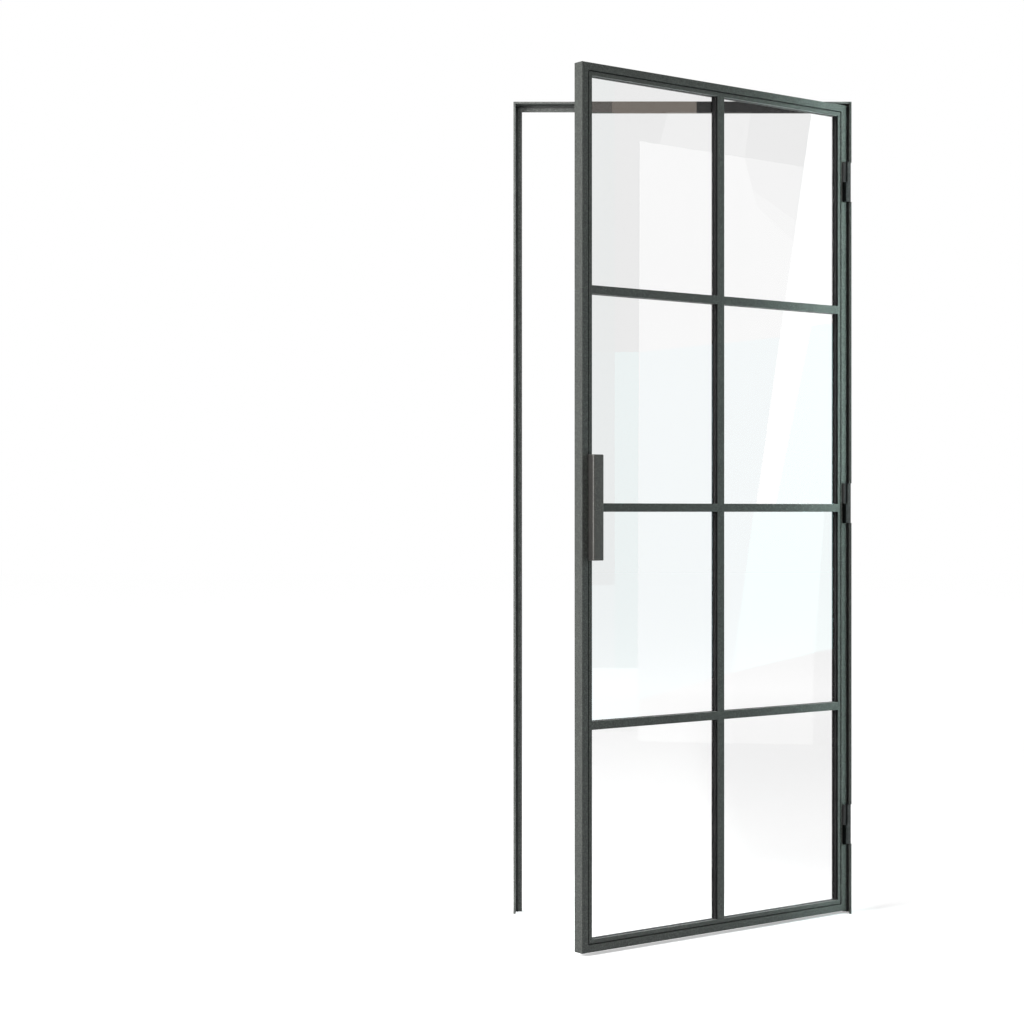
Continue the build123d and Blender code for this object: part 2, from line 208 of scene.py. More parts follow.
class StudioSettings(bpy.types.PropertyGroup):
    camera_distance: bpy.props.FloatProperty(
        name="Camera distance", description="Distance from the front of the frame",
        default=5.38, unit="LENGTH")
    camera_height: bpy.props.FloatProperty(
        name="Camera height", description="Height of the camera above the floor",
        default=1.034, unit="LENGTH")
    camera_inset: bpy.props.FloatProperty(
        name="Camera inset",
        description="Distance of the camera inwards from the lock side of the frame",
        default=0.3257, unit="LENGTH")
    image_size: bpy.props.FloatProperty(
        name="Image size", description="Width of the photograph in pixels", default=1024)
    focal_pixels: bpy.props.FloatProperty(
        name="Focal length in pixels",
        description="Focal length measured in pixels of the photograph", default=2091)
    centre_column: bpy.props.FloatProperty(
        name="Centre column", description="Pixel column straight ahead of the camera", default=640)
    centre_row: bpy.props.FloatProperty(
        name="Horizon row", description="Pixel row of the horizon", default=512.1)
    world_level: bpy.props.FloatProperty(
        name="Fill light", description="Level of the even light from all round", default=0.34)
    left_watts: bpy.props.FloatProperty(
        name="Left softbox", description="Power of the softbox on the lock side", default=640)
    top_watts: bpy.props.FloatProperty(
        name="Top softbox", description="Power of the softbox overhead", default=120)
    strip_low_watts: bpy.props.FloatProperty(
        name="Low strip light",
        description="Power of the narrow light beside the foot of the hinge stile", default=2.9)
    strip_high_watts: bpy.props.FloatProperty(
        name="High strip light",
        description="Power of the narrow light beside the top of the hinge stile", default=8.7)
    floor_lift: bpy.props.FloatProperty(
        name="Floor lift", description="White that the floor adds for the camera", default=0.345)


# Places on the door

def swing():
    # Turns the shut leaf to the opening that it rests at.
    pivot = Matrix.Translation(Vector(HINGE["pos_m"]))
    opening = math.radians(-HINGE["range_deg"][0])
    return pivot @ Matrix.Rotation(opening, 4, "Z") @ pivot.inverted()


def on_leaf(direction):
    # A direction of the shut leaf, turned to the opening that it rests at.
    return swing().to_3x3() @ direction


def leaf_levels():
    # The limits of the shut leaf.
    sizes = bpy.context.scene.door_sizes
    low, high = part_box("stile_lock")
    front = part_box("jamb_lock_side")[0].y + sizes.leaf_setback
    return {
        "left": sizes.leaf_left, "right": sizes.leaf_right, "bottom": low.z, "top": high.z,
        "front": front, "back": front + sizes.leaf_depth,
    }


# Mesh helpers

def linked_object(name, data):
    made = bpy.data.objects.new(name, data)
    bpy.context.scene.collection.objects.link(made)
    return made


def finish_mesh(name, bm, edge_round, segments=2):
    # Turns a bmesh into an object with rounded edges and smooth shading between them.
    mesh = bpy.data.meshes.new(name)
    bmesh.ops.recalc_face_normals(bm, faces=bm.faces)
    bm.to_mesh(mesh)
    bm.free()
    for face in mesh.polygons:
        face.use_smooth = True
    mesh.set_sharp_from_angle(angle=SHARP_ANGLE)
    piece = linked_object(name, mesh)
    if edge_round > 0:
        rounding = piece.modifiers.new("edge rounding", "BEVEL")
        rounding.width = edge_round
        rounding.segments = segments
        rounding.limit_method = "ANGLE"
        rounding.angle_limit = BEVEL_ANGLE
        rounding.harden_normals = True
        rounding.use_clamp_overlap = True
    return piece


def copied_solids(names):
    # The solids of these CAD nodes in one bmesh, without doubled points.
    bm = bmesh.new()
    for name in names:
        bm.from_mesh(NODES[name].data)
    bmesh.ops.remove_doubles(bm, verts=bm.verts, dist=DOUBLE_DISTANCE)
    return bm


def merge_flat_faces(bm):
    bmesh.ops.dissolve_limit(bm, angle_limit=FLAT_ANGLE, verts=bm.verts, edges=bm.edges)


def place(piece, material, body, nodes):
    # Gives a piece its material and its body, and hides the CAD nodes that it stands for.
    piece.data.materials.clear()
    piece.data.materials.append(material)
    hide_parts(*nodes)
    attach(piece, body)


def dress_node(name, material):
    # Keeps the CAD solid and gives it a better material.
    for slot in NODES[name].material_slots:
        slot.material = material


def rounded_copy(name, node, material, body, edge_round, segments=2):
    # A copy of a CAD solid with its sharp edges rounded.
    bm = copied_solids([node])
    merge_flat_faces(bm)
    piece = finish_mesh(name, bm, edge_round, segments=segments)
    place(piece, material, body, [node])
    return piece


def coat_faces(piece, material, chosen):
    # Gives the chosen faces a coat of their own.
    piece.data.materials.append(material)
    for face in piece.data.polygons:
        if chosen(face):
            face.material_index = len(piece.data.materials) - 1


def coat_sides(piece, direction, material):
    # Coats the deep faces that look along one direction, either way; this is how shade and light
    # are painted on them.
    inwards = on_leaf(BACKWARDS)

    def deep_side(face):
        if abs(face.normal.dot(direction)) <= FACING_COSINE:
            return False
        depths = [piece.data.vertices[corner].co.dot(inwards) for corner in face.vertices]
        return max(depths) - min(depths) > SIDE_DEPTH

    coat_faces(piece, material, deep_side)


def joined_bars(names, corner_points, directions):
    # Copies bars that meet in mitres and takes out the faces hidden in each mitre.
    bm = copied_solids(names)
    hidden = []
    for face in bm.faces:
        middle = face.calc_center_median()
        near = any((middle - corner).length < MITRE_REACH for corner in corner_points)
        if near and all(abs(abs(face.normal.dot(way)) - MITRE_COSINE) < MITRE_SLACK
                        for way in directions):
            hidden.append(face)
    bmesh.ops.delete(bm, geom=hidden, context="FACES_ONLY")
    bmesh.ops.remove_doubles(bm, verts=bm.verts, dist=MITRE_DOUBLE_DISTANCE)
    merge_flat_faces(bm)
    return bm


# Shader helpers

def set_inputs(tree, node, inputs):
    # Gives each named input of a node a link or a value of its own.
    for name, value in inputs.items():
        if isinstance(value, bpy.types.NodeSocket):
            tree.links.new(value, node.inputs[name])
        else:
            node.inputs[name].default_value = value


def add_node(tree, kind, inputs=None, **settings):
    node = tree.nodes.new(kind)
    for name, value in settings.items():
        setattr(node, name, value)
    set_inputs(tree, node, inputs or {})
    return node


def object_place(tree):
    return add_node(tree, "ShaderNodeTexCoord").outputs["Object"]


def calculated(tree, operation, *values):
    inputs = dict(enumerate(values))
    return add_node(tree, "ShaderNodeMath", inputs, operation=operation).outputs[0]


def ranged(tree, value, before, after):
    # Maps a value from one range to another and holds it within the second.
    inputs = {"Value": value, "From Min": before[0], "From Max": before[1],
              "To Min": after[0], "To Max": after[1]}
    return add_node(tree, "ShaderNodeMapRange", inputs).outputs["Result"]


def mixed(tree, first, second, factor, blend="MIX"):
    # Blends two colours by a factor.
    inputs = {"A": first, "B": second, "Factor": factor}
    made = add_node(tree, "ShaderNodeMix", inputs, data_type="RGBA", blend_type=blend)
    return made.outputs["Result"]


def noise(tree, spot, scale, detail, roughness):
    inputs = {"Vector": spot, "Scale": scale, "Detail": detail, "Roughness": roughness}
    return add_node(tree, "ShaderNodeTexNoise", inputs).outputs["Fac"]


def relief(tree, height, strength, distance):
    # The surface's normal with the grains standing out of it.
    inputs = {"Height": height, "Strength": strength, "Distance": distance}
    return add_node(tree, "ShaderNodeBump", inputs).outputs["Normal"]


def shaded(colour, share):
    # A lighter or darker shade of a colour.
    return [min(1, channel * share) for channel in colour]


def seen_directly(tree):
    # One for camera, glossy and transmission rays, nothing for the rays that light surfaces.
    path = add_node(tree, "ShaderNodeLightPath")
    seen = path.outputs["Is Camera Ray"]
    for kind in ("Is Glossy Ray", "Is Transmission Ray"):
        seen = calculated(tree, "MAXIMUM", seen, path.outputs[kind])
    return seen


def new_material(name):
    material = bpy.data.materials.new(name)
    material.use_nodes = True
    return material, material.node_tree, material.node_tree.nodes["Principled BSDF"]


def grain_group():
    # Raised grains of a structured powder coat, with a mask of their tops and a slow drift.
    if "powder grain" in bpy.data.node_groups:
        return bpy.data.node_groups["powder grain"]
    group = bpy.data.node_groups.new("powder grain", "ShaderNodeTree")
    for label, size in (("Grain Size", 0.7 * MM), ("Drift Size", 120 * MM)):
        socket = group.interface.new_socket(name=label, in_out="INPUT",
                                            socket_type="NodeSocketFloat")
        socket.default_value = size
    for label in ("Height", "Tops", "Drift"):
        group.interface.new_socket(name=label, in_out="OUTPUT", socket_type="NodeSocketFloat")
    entry = add_node(group, "NodeGroupInput")
    spot = object_place(group)
    fine_scale = calculated(group, "DIVIDE", 1.0, entry.outputs["Grain Size"])
    coarse_scale = calculated(group, "MULTIPLY", fine_scale, COARSE_SCALE)
    drift_scale = calculated(group, "DIVIDE", 1.0, entry.outputs["Drift Size"])
    fine = noise(group, spot, fine_scale, detail=2.0, roughness=0.6)
    coarse = noise(group, spot, coarse_scale, detail=3.0, roughness=0.55)
    coarse_part = calculated(group, "MULTIPLY", coarse, COARSE_SHARE)
    height = calculated(group, "MULTIPLY_ADD", fine, FINE_SHARE, coarse_part)
    add_node(group, "NodeGroupOutput", {
        "Height": height,
        "Tops": ranged(group, height, TOP_HEIGHTS, (0, 1)),
        "Drift": noise(group, spot, drift_scale, detail=4.0, roughness=0.5),
    })
    return group


# Materials

def coated_steel(name, colour, grain_size, bump=0.3, roughness=0.5, gloss=0.4, hinge_shade_colour=None):
    # Dark structured powder coat: matt grains with slightly smoother tops. A second colour, if
    # given, takes over towards the hinge side as painted shade.
    if name in bpy.data.materials:
        return bpy.data.materials[name]
    material, tree, shader = new_material(name)
    grain = add_node(tree, "ShaderNodeGroup", {"Grain Size": grain_size}, node_tree=grain_group())
    tops = grain.outputs["Tops"]
    coat = mixed(tree, (*shaded(colour, VALLEY_SHADE), 1), (*shaded(colour, TOP_SHADE), 1), tops)
    coat = mixed(tree, coat, DRIFT_TINT, grain.outputs["Drift"], blend="MULTIPLY")
    if hinge_shade_colour:
        parts = add_node(tree, "ShaderNodeSeparateXYZ", {"Vector": object_place(tree)})
        ends = [corner.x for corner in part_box("head_bar")]
        along = ranged(tree, parts.outputs["X"], ends, (0, 1))
        change = [far / near for far, near in zip(hinge_shade_colour, colour)]
        coat = mixed(tree, coat, (*change, 1), along, blend="MULTIPLY")
    roughest, smoothest = roughness + ROUGHNESS_SPREAD, roughness - ROUGHNESS_SPREAD
    set_inputs(tree, shader, {
        "Base Color": coat,
        "Roughness": ranged(tree, tops, (0, 1), (roughest, smoothest)),
        "Normal": relief(tree, grain.outputs["Height"], bump, GRAIN_HEIGHT),
        "Specular IOR Level": gloss,
    })
    return material


def soft_rubber(name, colour):
    # Matt black rubber with a fine moulded grain.
    if name in bpy.data.materials:
        return bpy.data.materials[name]
    material, tree, shader = new_material(name)
    grain = add_node(tree, "ShaderNodeGroup", {"Grain Size": 0.4 * MM}, node_tree=grain_group())
    dark, light = (*shaded(colour, 0.8), 1), (*shaded(colour, 1.6), 1)
    set_inputs(tree, shader, {
        "Base Color": mixed(tree, dark, light, grain.outputs["Tops"]),
        "Roughness": 0.62,
        "Normal": relief(tree, grain.outputs["Height"], strength=0.15, distance=0.05 * MM),
    })
    return material


def turned_steel(name, colour):
    # Bare steel with fine turning marks round its axis.
    if name in bpy.data.materials:
        return bpy.data.materials[name]
    material, tree, shader = new_material(name)
    wave = {"Vector": object_place(tree), "Scale": 900, "Distortion": 1.5}
    marks = add_node(tree, "ShaderNodeTexWave", wave, bands_direction="Z").outputs["Fac"]
    set_inputs(tree, shader, {
        "Metallic": 1.0,
        "Base Color": mixed(tree, (*shaded(colour, 0.85), 1), (*colour, 1), marks),
        "Roughness": ranged(tree, marks, (0, 1), (0.28, 0.42)),
    })
    return material


def clear_glass(name, colour):
    # Float glass whose tint changes a little over the pane.
    if name in bpy.data.materials:
        return bpy.data.materials[name]
    material, tree, shader = new_material(name)
    drift = noise(tree, object_place(tree), scale=3.0, detail=2.0, roughness=0.5)
    set_inputs(tree, shader, {
        "Transmission Weight": 1.0,
        "IOR": 1.5,
        "Base Color": mixed(tree, (*colour, 1), (*shaded(colour, 1.02), 1), drift),
        "Roughness": 0.0,
    })
    return material


def leaf_coat():
    colours, sizes = bpy.context.scene.door_colours, bpy.context.scene.door_sizes
    return coated_steel("structured coating", colours.coating, sizes.grain_size, gloss=0.3)


# The sides of the upright bars in painted shade
def reveal_shade_coat():
    colours, sizes = bpy.context.scene.door_colours, bpy.context.scene.door_sizes
    return coated_steel("reveal coating", colours.reveal, sizes.grain_size, gloss=0.05)


# Operators, one for each piece or group of like pieces

class DOOR_OT_frame(bpy.types.Operator):
    """Round the edges of the two jambs and the head, joined as one coated frame"""
    bl_idname = "door.frame"
    bl_label = "Door frame"

    def execute(self, context):
        colours, sizes = context.scene.door_colours, context.scene.door_sizes
        low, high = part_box("head_bar")
        depths = (low.y, (low.y + high.y) / 2, high.y)
        corners = [Vector((x, y, high.z)) for x in (low.x, high.x) for y in depths]
        bm = joined_bars(FRAME_BARS, corners, (ALONG_WALL, UPWARDS))
        piece = finish_mesh("door_frame", bm, sizes.edge_round)
        # Painted light on the lock side of the frame, turning to painted shade towards the hinge
        # side
        coat = coated_steel("frame coating", colours.frame_coating, sizes.grain_size,
                            hinge_shade_colour=colours.coating)
        place(piece, coat, "frame", FRAME_BARS)
        # The soffit and the stop of the head take a darker coat: painted shade in the recess
        shade = coated_steel("soffit coating", shaded(colours.frame_coating, SOFFIT_PAINTED_SHADE),
                             sizes.grain_size, gloss=0.25)
        coat_faces(piece, shade, lambda face: face.center.z > high.z - SOFFIT_DROP
                   and face.center.y > low.y + SOFFIT_SETBACK)
        return {"FINISHED"}


class DOOR_OT_seals(bpy.types.Operator):
    """Finish the rubber seals in the rebate"""
    bl_idname = "door.seals"
    bl_label = "Seals"

    def execute(self, context):
        rubber = soft_rubber("seal rubber", context.scene.door_colours.rubber)
        for name in SEALS:
            dress_node(name, rubber)
        return {"FINISHED"}


class DOOR_OT_hinges(bpy.types.Operator):
    """Round and coat the hinge halves and finish their pins and washers"""
    bl_idname = "door.hinges"
    bl_label = "Hinges"

    def execute(self, context):
        colours, sizes = context.scene.door_colours, context.scene.door_sizes
        coat = coated_steel("hinge coating", colours.hinge, sizes.grain_size, bump=0.15, gloss=0.23)
        # The knuckle of the fixed half takes a darker, duller copy of the hinge coat: painted
        # shade. Its plate keeps a coat of its own.
        knuckle_shade_coat = coated_steel("dull hinge coating", shaded(colours.hinge, HINGE_KNUCKLE_PAINTED_SHADE),
                            sizes.grain_size, bump=0.15, roughness=0.7, gloss=0.0)
        plate_coat = coated_steel("hinge plate coating", colours.hinge_plate, sizes.grain_size,
                                  gloss=0.2)
        pin_steel = turned_steel("turned steel", colours.steel)
        washer_plastic = soft_rubber("washer plastic", colours.rubber)
        axis = Vector(HINGE["pos_m"])
        for spot in HINGE_PLACES:
            fixed = rounded_copy("fixed_hinge_" + spot, "hinge_frame_half_" + spot, knuckle_shade_coat, "frame",
                                 sizes.edge_round)
            coat_faces(fixed, plate_coat,
                       lambda face: (face.center - axis).xy.length > KNUCKLE_REACH)
            rounded_copy("moving_hinge_" + spot, "hinge_leaf_half_" + spot, coat, "leaf",
                         sizes.edge_round)
            dress_node("hinge_pin_" + spot, pin_steel)
            dress_node("hinge_washer_" + spot, washer_plastic)
        return {"FINISHED"}


class DOOR_OT_tubes(bpy.types.Operator):
    """Join the four tubes of the leaf into one welded and coated surround"""
    bl_idname = "door.tubes"
    bl_label = "Leaf tubes"

    def execute(self, context):
        leaf = leaf_levels()
        middle_y = (leaf["front"] + leaf["back"]) / 2
        corners = [swing() @ Vector((x, middle_y, z))
                   for x in (leaf["left"], leaf["right"]) for z in (leaf["bottom"], leaf["top"])]
        bm = joined_bars(LEAF_TUBES, corners, (on_leaf(ALONG_WALL), UPWARDS))
        piece = finish_mesh("leaf_tubes", bm, 0)
        place(piece, leaf_coat(), "leaf", LEAF_TUBES)
        return {"FINISHED"}


def bar_lines(low, high, bar_width, count):
    # Edges of the bars across one direction: outer edge, groove, border bar, muntins and back
    # again. The count is that of the panes.
    sizes = bpy.context.scene.door_sizes
    low, high = low + sizes.tube_face, high - sizes.tube_face
    border = sizes.groove_width + sizes.bead_face
    clear = (high - low - 2 * border - (count - 1) * bar_width) / count
    lines = [low, low + sizes.groove_width, low + border]
    for k in range(1, count):
        start = low + border + k * clear + (k - 1) * bar_width
        lines += [start, start + bar_width]
    return lines + [high - border, high - sizes.groove_width, high]


class DOOR_OT_front_bars(bpy.types.Operator):
    """Build the welded lattice of glazing bars on the front, with the shadow groove round it"""
    bl_idname = "door.front_bars"
    bl_label = "Front glazing bars"

    def execute(self, context):
        sizes, colours = context.scene.door_sizes, context.scene.door_colours
        leaf = leaf_levels()
        xs = bar_lines(leaf["left"], leaf["right"], sizes.upright_width, len(COLUMNS))
        zs = bar_lines(leaf["bottom"], leaf["top"], sizes.cross_width, ROWS)
        face_y = leaf["front"] + sizes.bar_recess
        back_y = face_y + sizes.bar_depth
        groove_y = face_y + sizes.groove_depth

        def cell_face(i, j):
            # Depth of the front of one cell of the lattice, or nothing where a pane shows.
            if i < 0 or j < 0 or i >= len(xs) - 1 or j >= len(zs) - 1:
                return None
            if i in (0, len(xs) - 2) or j in (0, len(zs) - 2):
                return groove_y
            in_upright = i % 2 == 1
            in_cross = j % 2 == 1
            return face_y if in_upright or in_cross else None

        bm = bmesh.new()
        made = {}

        def point(*spot):
            key = tuple(round(value, POINT_DIGITS) for value in spot)
            if key not in made:
                made[key] = bm.verts.new(spot)
            return made[key]

        def quad(*spots):
            bm.faces.new([point(*spot) for spot in spots])

        def wall(ax, az, bx, bz, near, far):
            quad((ax, near, az), (bx, near, bz), (bx, far, bz), (ax, far, az))

        for i in range(len(xs) - 1):
            for j in range(len(zs) - 1):
                near = cell_face(i, j)
                if near is None:
                    continue
                x0, x1, z0, z1 = xs[i], xs[i + 1], zs[j], zs[j + 1]
                quad((x0, near, z0), (x1, near, z0), (x1, near, z1), (x0, near, z1))
                quad((x0, back_y, z0), (x0, back_y, z1), (x1, back_y, z1), (x1, back_y, z0))
                sides = {
                    (i - 1, j): (x0, z0, x0, z1), (i + 1, j): (x1, z1, x1, z0),
                    (i, j - 1): (x1, z0, x0, z0), (i, j + 1): (x0, z1, x1, z1),
                }
                for neighbour, line in sides.items():
                    beside = cell_face(*neighbour)
                    if beside is None:
                        levels = sorted({near, max(near, groove_y), back_y})
                        for front, back in zip(levels, levels[1:]):
                            wall(*line, front, back)
                    elif near < beside:
                        wall(*line, near, beside)
        bmesh.ops.remove_doubles(bm, verts=bm.verts, dist=DOUBLE_DISTANCE)
        bmesh.ops.transform(bm, matrix=swing(), verts=bm.verts)
        merge_flat_faces(bm)
        piece = finish_mesh("front_bars", bm, sizes.edge_round)
        place(piece, leaf_coat(), "leaf", ["front_" + bar for bar in BARS])
        # The deep sides of the upright bars take painted shade
        coat_sides(piece, on_leaf(ALONG_WALL), reveal_shade_coat())
        # The upper and lower sides of the level bars take painted light, as highlights
        coat_sides(piece, UPWARDS, coated_steel("ledge coating", colours.ledge_light, sizes.grain_size))
        return {"FINISHED"}


class DOOR_OT_back_bars(bpy.types.Operator):
    """Round and coat the loose glazing bars on the back, and blacken their screws"""
    bl_idname = "door.back_bars"
    bl_label = "Back glazing bars"

    def execute(self, context):
        sizes, colours = context.scene.door_sizes, context.scene.door_colours
        for bar in BARS:
            piece = rounded_copy("rear_" + bar, "back_" + bar, leaf_coat(), "leaf",
                                 sizes.edge_round * BACK_BAR_ROUNDING)
            # The deep sides of the upright bars take painted shade
            coat_sides(piece, on_leaf(ALONG_WALL), reveal_shade_coat())
        screw_coat = coated_steel("blackened screws", colours.hinge, SCREW_GRAIN, bump=0.1)
        dress_node("bead_screws", screw_coat)
        magnet_steel = turned_steel("magnet steel", shaded(colours.steel, MAGNET_SHADE))
        dress_node("magnet_catch", magnet_steel)
        return {"FINISHED"}


class DOOR_OT_glazing(bpy.types.Operator):
    """Finish the glass panes and their rubber gaskets"""
    bl_idname = "door.glazing"
    bl_label = "Glass and gaskets"

    def execute(self, context):
        colours = context.scene.door_colours
        glass = clear_glass("clear glass", colours.glass)
        rubber = soft_rubber("gasket rubber", colours.rubber)
        for column in COLUMNS:
            for row in range(1, ROWS + 1):
                cell = column + "_" + str(row)
                dress_node("pane_" + cell, glass)
                NODES["pane_" + cell].visible_shadow = False
                dress_node("gasket_" + cell, rubber)
        return {"FINISHED"}


class DOOR_OT_pulls(bpy.types.Operator):
    """Round and coat the bent sheet pulls"""
    bl_idname = "door.pulls"
    bl_label = "Pulls"

    def execute(self, context):
        colours, sizes = context.scene.door_colours, context.scene.door_sizes
        grain_size = sizes.grain_size * PULL_GRAIN
        coat = coated_steel("pull coating", colours.pull, grain_size, bump=0.25)
        # The sides of the pulls that look along the leaf take a darker coat: painted shade
        side_shade_coat = coated_steel("pull side coating", shaded(colours.pull, PULL_SIDE_PAINTED_SHADE),
                                 grain_size, bump=0.25, gloss=0.25)
        for node in PULLS:
            pull = rounded_copy(node.replace("pull", "handle"), node, coat, "leaf",
                                sizes.edge_round * PULL_ROUNDING, segments=3)
            coat_sides(pull, on_leaf(ALONG_WALL), side_shade_coat)
        return {"FINISHED"}


# The studio: places and sizes in metres

DOOR_MIDDLE = Vector((-0.45, -0.2, 1.05))

FLOOR_REACH = 30
FLOOR_WHITE = (0.69, 0.69, 0.69, 1)
FADE_DISTANCES = (1.2, 7.0)
FAR_LIFT = 0.76
LOCK_SIDE_PLACES = (-0.34, -0.2)
LOCK_SIDE_LIFT = 0.11
LOCK_SIDE_DISTANCES = (3.0, 6.5)

LEFT_BOX_SIZE = (2.4, 3.0)
LEFT_BOX_PLACE = (-4.8, -3.9, 2.2)
TOP_BOX_SIZE = (3.5, 3.5)
TOP_BOX_PLACE = (-0.4, -0.6, 4.6)

STRIP_WIDTH = 0.05
STRIP_X = 0.085
STRIP_Y = -0.115
STRIP_AIM_X = -0.2
STRIP_MIDDLE = 1.05
STRIP_TOP = 2.65
STRIP_TINT = (0.76, 1.0, 0.98)

JAMB_FLAG_ENDS = (-0.0072, 0.0035)
JAMB_FLAG_GAP = 1.5 * MM
JAMB_FLAG_TOP = 2.1

MIRRORED_WALL_X = 4.2
MIRRORED_CARD_STEP = 0.02
DARK_ROOM_LEVEL = 0.35
DARK_ROOM = [(MIRRORED_WALL_X, y, z) for y, z in ((-9, -2), (2.5, -2), (2.5, 6), (-9, 6))]
FRONT_WINDOW_LEVEL = 11.5
FRONT_WINDOW = [(x, -6, z) for x, z in ((-5.6, 0.6), (-2.1, 0.6), (-2.1, 4.5), (-5.6, 4.5))]

SENSOR_WIDTH = 36

HEAD_STRIP_GAP = 1 * MM
HEAD_STRIP_OVERLAP = 11 * MM
HEAD_PAINTED_STRIPS = (
    # name, ends along the wall, colour of the glowing strip of painted light and shade that the
    # glass shows in front of the head
    ("dark_strip", (-0.398, -0.1), (0.006, 0.006, 0.006)),
    ("brown_strip", (-0.615, -0.398), (0.185, 0.16, 0.138)),
    ("grey_strip", (-0.68, -0.615), (0.105, 0.095, 0.087)),
)

# Corners that several reflections share, as pixels of the photograph
WINDOW_FOOT = (733, 672)
WINDOW_FOOT_LEFT = (638, 700)
WINDOW_TOP_RIGHT = (805, 167)
EDGE_TOP = (615, 352)
EDGE_LOW = (615, 585)
EDGE_FOOT = (615, 668)

REFLECTION_CARDS = (
    # name, corners as pixels of the photograph, colour, strength; later cards hide earlier ones
    ("left_edge", ((560, 40), (615, 50), EDGE_TOP, (560, 352)), (0.1, 1.0, 0.8), 0.35),
    ("left_edge_low", ((560, 352), EDGE_TOP, EDGE_LOW, (560, 585)), (0.05, 1.0, 1.0), 0.5),
    ("cool_edge", (EDGE_TOP, (640, 352), (638, 668), EDGE_FOOT), (0.33, 1.0, 1.0), 1.75),
    ("cool_foot", ((560, 585), EDGE_LOW, EDGE_FOOT, (560, 668)), (0.55, 0.95, 1.0), 1.85),
    ("foot_patch", ((560, 668), (640, 668), (645, 722), (560, 728)), (0.72, 1.0, 1.0), 3.8),
    ("upper_band", ((668, 112), (751, 112), (745, 157), (660, 144)), (1, 1, 1), 1.2),
    ("head_band", ((590, 101), (698, 101), (698, 112), (590, 112)), (1, 1, 1), 0.0),
    ("head_shade", ((698, 96), (815, 96), (815, 112), (698, 112)), (1, 1, 1), 0.0),
    ("dark_corner", ((751, 112), (813, 112), WINDOW_TOP_RIGHT, (745, 157)), (1, 1, 1), 0.45),
    ("high_window", ((640, 141), WINDOW_TOP_RIGHT, WINDOW_FOOT, WINDOW_FOOT_LEFT),
     (1, 1, 1), 2.79),
    ("cool_window", ((640, 352), (792, 336), WINDOW_FOOT, WINDOW_FOOT_LEFT),
     (0.71, 0.95, 1.0), 2.95),
    ("soft_edge", ((745, 158), WINDOW_TOP_RIGHT, (796, 244), (757, 206)), (1, 1, 1), 2.35),
    ("soft_corner", ((745, 158), WINDOW_TOP_RIGHT, (798, 222), (753, 190)), (1, 1, 1), 1.85),
    ("tall_window", ((814, 97), (1000, 60), (880, 640), WINDOW_FOOT), (1, 1, 1), 4.6),
    ("cool_sheet", ((812, 326), (1000, 300), (1000, 505), (776, 505)), (0.68, 1.0, 1.0), 4.3),
    ("cool_sheet_low", ((755, 505), (1000, 505), (1000, 640), WINDOW_FOOT),
     (0.64, 1.0, 1.0), 4.3),
    ("cool_side", ((825, 505), (1000, 505), (1000, 660), (815, 652)), (0.63, 1.0, 1.0), 2.9),
    ("low_room", ((700, 682), WINDOW_FOOT, (817, 652), (817, 860), (700, 860)), (1, 1, 1), 2.0),
    ("low_wall", (WINDOW_FOOT_LEFT, WINDOW_FOOT, (733, 860), (640, 860)), (1, 1, 1), 2.3),
    ("low_side", ((814, 652), (860, 645), (860, 860), (812, 860)), (1, 1, 1), 1.0),
)


def camera_place():
    studio = bpy.context.scene.door_studio
    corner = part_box("jamb_lock_side")[0]
    return Vector((corner.x + studio.camera_inset, corner.y - studio.camera_distance,
                   studio.camera_height))


def mirrored_spot(column, row, wall_x):
    # Where the line of sight through a pixel meets a wall at wall_x after the glass mirrors it.
    studio, sizes = bpy.context.scene.door_studio, bpy.context.scene.door_sizes
    eye = camera_place()
    sight = Vector(((column - studio.centre_column) / studio.focal_pixels, 1,
                    -(row - studio.centre_row) / studio.focal_pixels))
    glass_y = leaf_levels()["front"] + sizes.bar_recess + sizes.bar_depth
    on_glass = swing() @ Vector((sizes.leaf_left, glass_y, 0))
    facing = on_leaf(-BACKWARDS)
    hit = eye + sight * ((on_glass - eye).dot(facing) / sight.dot(facing))
    away = sight - 2 * sight.dot(facing) * facing
    return hit + away * ((wall_x - hit.x) / away.x)


def flat_card(name, corners, material, hidden_from):
    # One flat face that the named kinds of ray don't see.
    bm = bmesh.new()
    bm.faces.new([bm.verts.new(corner) for corner in corners])
    mesh = bpy.data.meshes.new(name)
    bm.to_mesh(mesh)
    bm.free()
    mesh.materials.append(material)
    card = linked_object(name, mesh)
    for kind in hidden_from:
        setattr(card, "visible_" + kind, False)


def upright_corners(x0, x1, y, low, high):
    return [(x0, y, low), (x1, y, low), (x1, y, high), (x0, y, high)]


def glow(name, colour, strength):
    material, tree, _ = new_material(name)
    tree.nodes.clear()
    light = add_node(tree, "ShaderNodeEmission", {"Color": (*colour, 1), "Strength": strength})
    add_node(tree, "ShaderNodeOutputMaterial", {"Surface": light.outputs[0]})
    return material


def mirrored_card(name, corners, colour, strength):
    # A card that only glossy surfaces see.
    flat_card(name, corners, glow(name, colour, strength),
              ("camera", "diffuse", "transmission", "shadow"))


def head_painted_strip(name, ends, colour):
    # A glowing strip before the head that shows only through the panes: painted shade and painted
    # light on the head behind the glass.
    low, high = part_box("head_bar")
    corners = upright_corners(*ends, low.y - HEAD_STRIP_GAP, low.z - HEAD_STRIP_OVERLAP, high.z)
    flat_card(name, corners, glow(name, colour, 1), ("camera", "diffuse", "glossy", "shadow"))


def jamb_flag():
    # A card that nothing sees, and that only keeps the strip lights off the front of the jamb.
    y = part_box("jamb_hinge_side")[0].y - JAMB_FLAG_GAP
    black, _, shader = new_material("jamb_flag")
    shader.inputs["Base Color"].default_value = (0, 0, 0, 1)
    flat_card("jamb_flag", upright_corners(*JAMB_FLAG_ENDS, y, 0, JAMB_FLAG_TOP), black,
              ("camera", "diffuse", "glossy", "transmission"))


